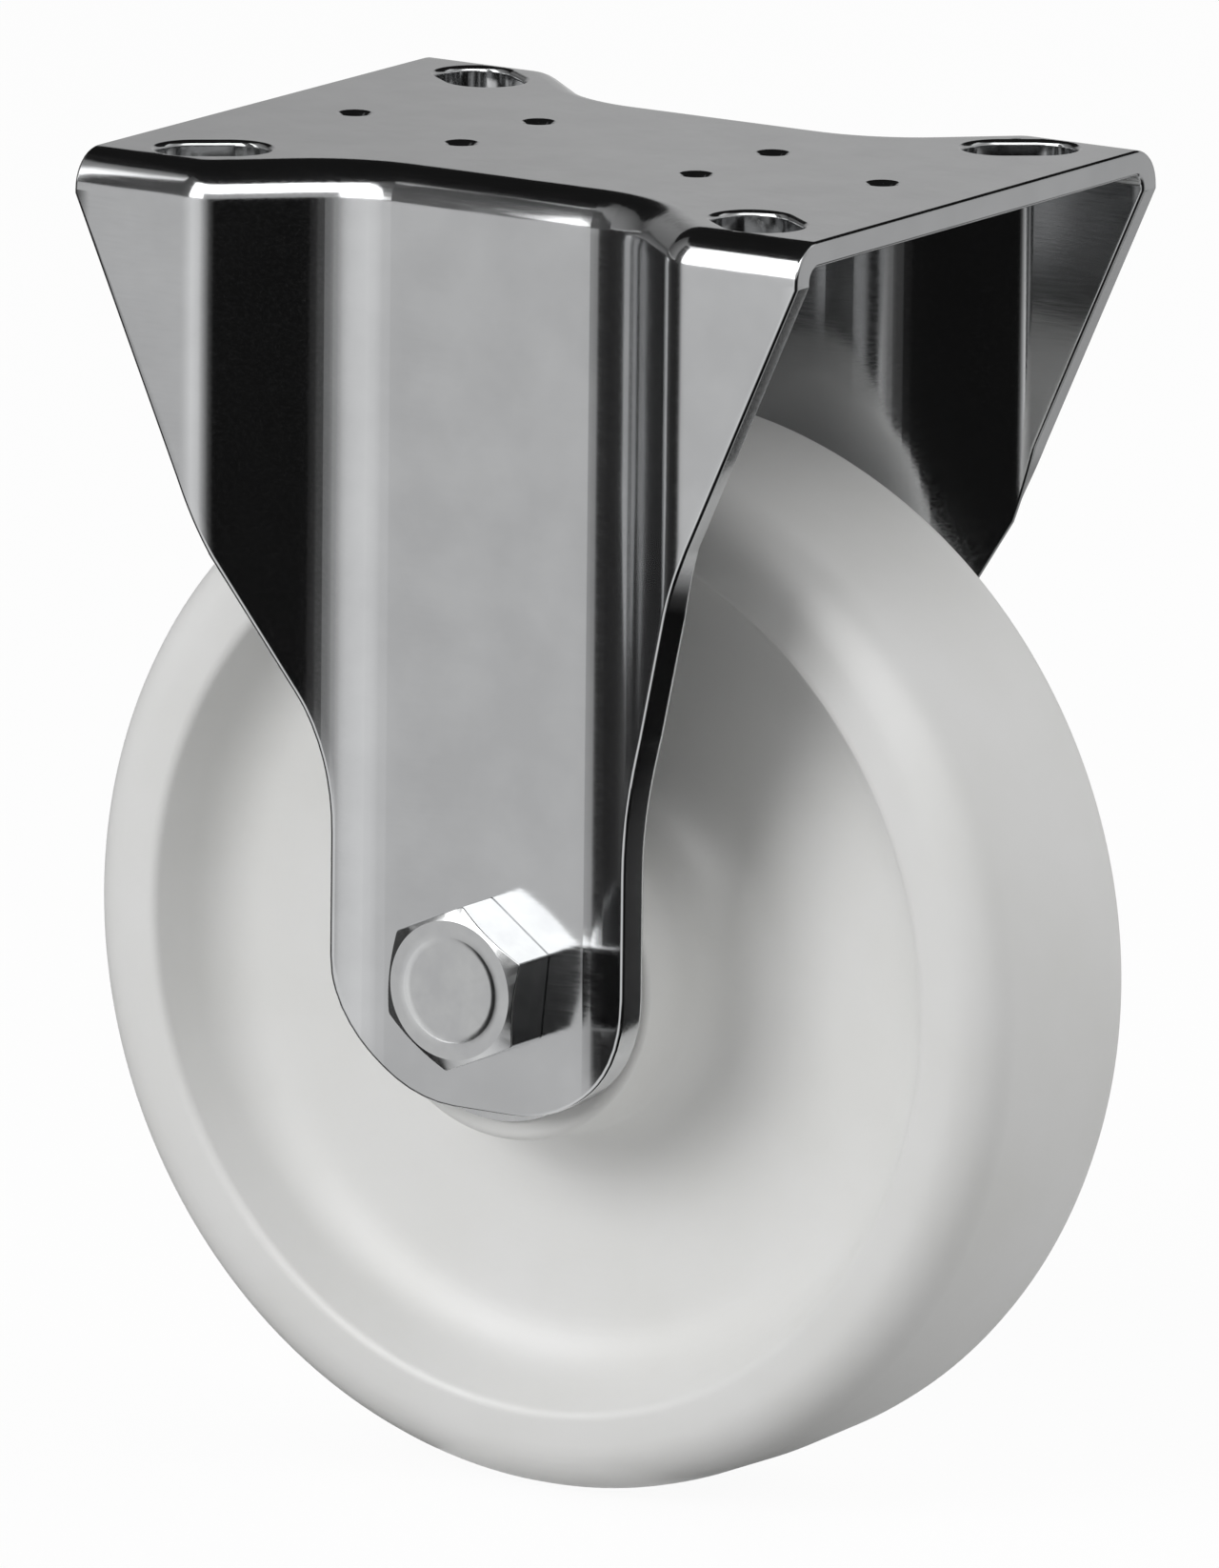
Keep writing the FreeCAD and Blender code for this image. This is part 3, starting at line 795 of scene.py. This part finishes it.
def band(name, profile, stops, strength=1.0):
    """A curved card round the castor that only reflections show.

    It is a profile of (radius, z) carried round the plate's axis from the first to the last
    stop's azimuth. Its greys run with the azimuth, as (azimuth, hex colour) stops, and its UV
    map runs from 0 to 1 between the first and the last.
    """
    first, last = stops[0][0], stops[-1][0]
    turn = np.radians(np.linspace(first, last, BAND_COLUMNS))
    radius, z = np.array(profile).T[..., None]
    points = np.stack([radius * np.sin(turn), -radius * np.cos(turn), z + 0 * turn], -1)
    quads = grid_quads(np.arange(points.shape[0] * BAND_COLUMNS).reshape(-1, BAND_COLUMNS))
    paint = new_material(name)
    tree = paint.node_tree
    place = add(tree, "ShaderNodeSeparateXYZ",
                {"Vector": add(tree, "ShaderNodeUVMap").outputs["UV"]})
    greys = ramp(tree, place.outputs["X"],
                 [((at - first) / (last - first), grey) for at, grey in stops])
    glow = add(tree, "ShaderNodeEmission",
               {"Color": greys.outputs["Color"], "Strength": strength})
    add(tree, "ShaderNodeOutputMaterial", {"Surface": glow.outputs[0]})
    mesh = bpy.data.meshes.new(name)
    mesh.from_pydata(points.reshape(-1, 3).tolist(), [], quads.tolist())
    mesh.materials.append(paint)
    across = np.tile(np.linspace(0, 1, BAND_COLUMNS), len(profile))[quads.ravel()]
    uv = mesh.uv_layers.new(name="across")
    uv.data.foreach_set("uv", np.stack([across, 0.5 + 0 * across], -1).ravel())
    card = add_piece(name, mesh)
    card.visible_camera = False
    card.visible_diffuse = False
    card.visible_shadow = False
    card.visible_transmission = False


# The low cards lie on the table round the castor and are turned up at their outer edge:
# pale grey at the front left for the legs' flat faces, white at the front, black at the
# right and dark with paler stripes at the left for the slanting walls, and light behind,
# for the far leg's inner side. Azimuths are in degrees from -Y, the bolt head's side,
# towards +X.
band("low_cards", [(0.02, -0.1545), (0.55, -0.1545), (0.55, 0.07)], [
    (-180, "#8C8C8C"), (-158, "#9C9C9C"), (-148, "#D0D0D0"), (-137, "#C4C4C4"),
    (-129, "#444444"), (-117, "#444444"), (-108, "#5C5C5C"), (-98, "#404040"),
    (-84, "#505050"), (-70, "#343434"), (-56, "#2C2C2C"), (-47, "#404040"),
    (-42, "#A0A0A0"), (-37, "#D8D8D8"), (-28, "#DEDEDE"), (-20, "#EAEAEA"),
    (-8, "#FFFFFF"), (6, "#F0F0F0"), (16, "#B4B4B4"), (28, "#505050"),
    (38, "#161616"), (72, "#121212"), (92, "#404040"), (108, "#909090"),
    (124, "#B8B8B8"), (150, "#C4C4C4"), (180, "#8C8C8C")])
# The back card is the grey that the plate's top shows.
band("back_card", [(0.54, -0.01), (0.54, 0.2)],
     [(-220, "#BCBCBC"), (-147, "#B8B8B8"), (-100, "#505050")])
# Bright strips over the low cards make the white lines along the top bends. A grey card
# closes the gap under the right one, and the dark one above makes the black band over them.
STRIP_STRENGTH = 3.2
band("strip_card_left", [(0.52, 0.075), (0.45, 0.3), (0.36, 0.42)],
     [(-100, "#303030"), (-54, "#606060"), (-42, "#FFFFFF"), (14, "#FFFFFF")],
     strength=STRIP_STRENGTH)
band("strip_card_right", [(0.5, 0.2), (0.45, 0.3), (0.36, 0.42)],
     [(14, "#FFFFFF"), (60, "#FFFFFF"), (80, "#808080"), (100, "#606060"), (140, "#909090")],
     strength=STRIP_STRENGTH)
band("grey_card_right", [(0.53, 0.068), (0.51, 0.205)], [(13.9, "#BCBCBC"), (140, "#BCBCBC")])
band("dark_card_above", [(0.56, 0.18), (0.365, 0.415), (0.002, 0.55)],
     [(-180, "#1C1C1C"), (180, "#1C1C1C")])
# A narrow dark card close to the plate breaks the white line along the middle of its edge.
band("narrow_card", [(0.125, 0.006), (0.11, 0.11)], [(-46, "#404040"), (-24, "#6C6C6C")])
# Two dark cards lie on the table: a black one at the front right, for the bolt's right side,
# and one behind, for the cut edges of the tongues.
band("table_card_front", [(0.13, -0.154), (0.2, -0.154)], [(8, "#101010"), (70, "#101010")])
band("table_card_back", [(0.13, -0.154), (0.42, -0.154)], [(140, "#484848"), (154, "#484848")])


CASTOR_MIDDLE = np.array([0, 0, -0.08])


def lamp(name, azimuth, elevation, distance, size, watts):
    """A soft square lamp that looks at the castor, and that no reflection shows."""
    data = bpy.data.lights.new(name, "AREA")
    data.size = size
    data.energy = watts
    light = bpy.data.objects.new(name, data)
    bpy.context.scene.collection.objects.link(light)
    light.location = direction(azimuth, elevation) * distance + CASTOR_MIDDLE
    light.rotation_euler = (math.radians(90 - elevation), 0, math.radians(azimuth))
    light.visible_glossy = False


lamp("lamp_front_left", -18, 25, 1.6, 0.9, 13.5)
lamp("lamp_right", 100, 22, 1.8, 0.8, 8)
lamp("lamp_back", 165, 35, 1.8, 1.2, 7)


# Camera. It stands far off at the front right and a little above, as in the photograph, and
# looks past the axle's middle. Its offsets and distance are in metres, its angles in degrees.

CAMERA_AZIMUTH = 33.2
CAMERA_ELEVATION = 12.3
CAMERA_ROLL = 0.6
CAMERA_DISTANCE = 2.767
CAMERA_RIGHT = 0.0001
CAMERA_UP = 0.0178
CAMERA_FOCAL_PX = 25290.0
IMAGE_HEIGHT_PX = 1646.0
SENSOR_HEIGHT_MM = 24.0
FARTHEST_SEEN = 50.0

camera_data = bpy.data.cameras.new("camera")
camera_data.sensor_fit = "VERTICAL"
camera_data.sensor_height = SENSOR_HEIGHT_MM
camera_data.lens = CAMERA_FOCAL_PX / IMAGE_HEIGHT_PX * SENSOR_HEIGHT_MM
camera_data.clip_end = FARTHEST_SEEN
camera = bpy.data.objects.new("camera", camera_data)
bpy.context.scene.collection.objects.link(camera)
back = direction(CAMERA_AZIMUTH, CAMERA_ELEVATION)
level = np.cross([0, 0, 1.0], back) / math.cos(math.radians(CAMERA_ELEVATION))
upright = np.cross(back, level)
roll = math.radians(CAMERA_ROLL)
right = level * math.cos(roll) + upright * math.sin(roll)
up = upright * math.cos(roll) - level * math.sin(roll)
eye = (np.array([0, 0, AXLE_Z * MM]) + right * CAMERA_RIGHT + up * CAMERA_UP
       + back * CAMERA_DISTANCE)
camera.matrix_world = Matrix(np.vstack([np.stack([right, up, back, eye], 1), [0, 0, 0, 1]]))
bpy.context.scene.camera = camera
bpy.context.scene.view_settings.view_transform = "Standard"
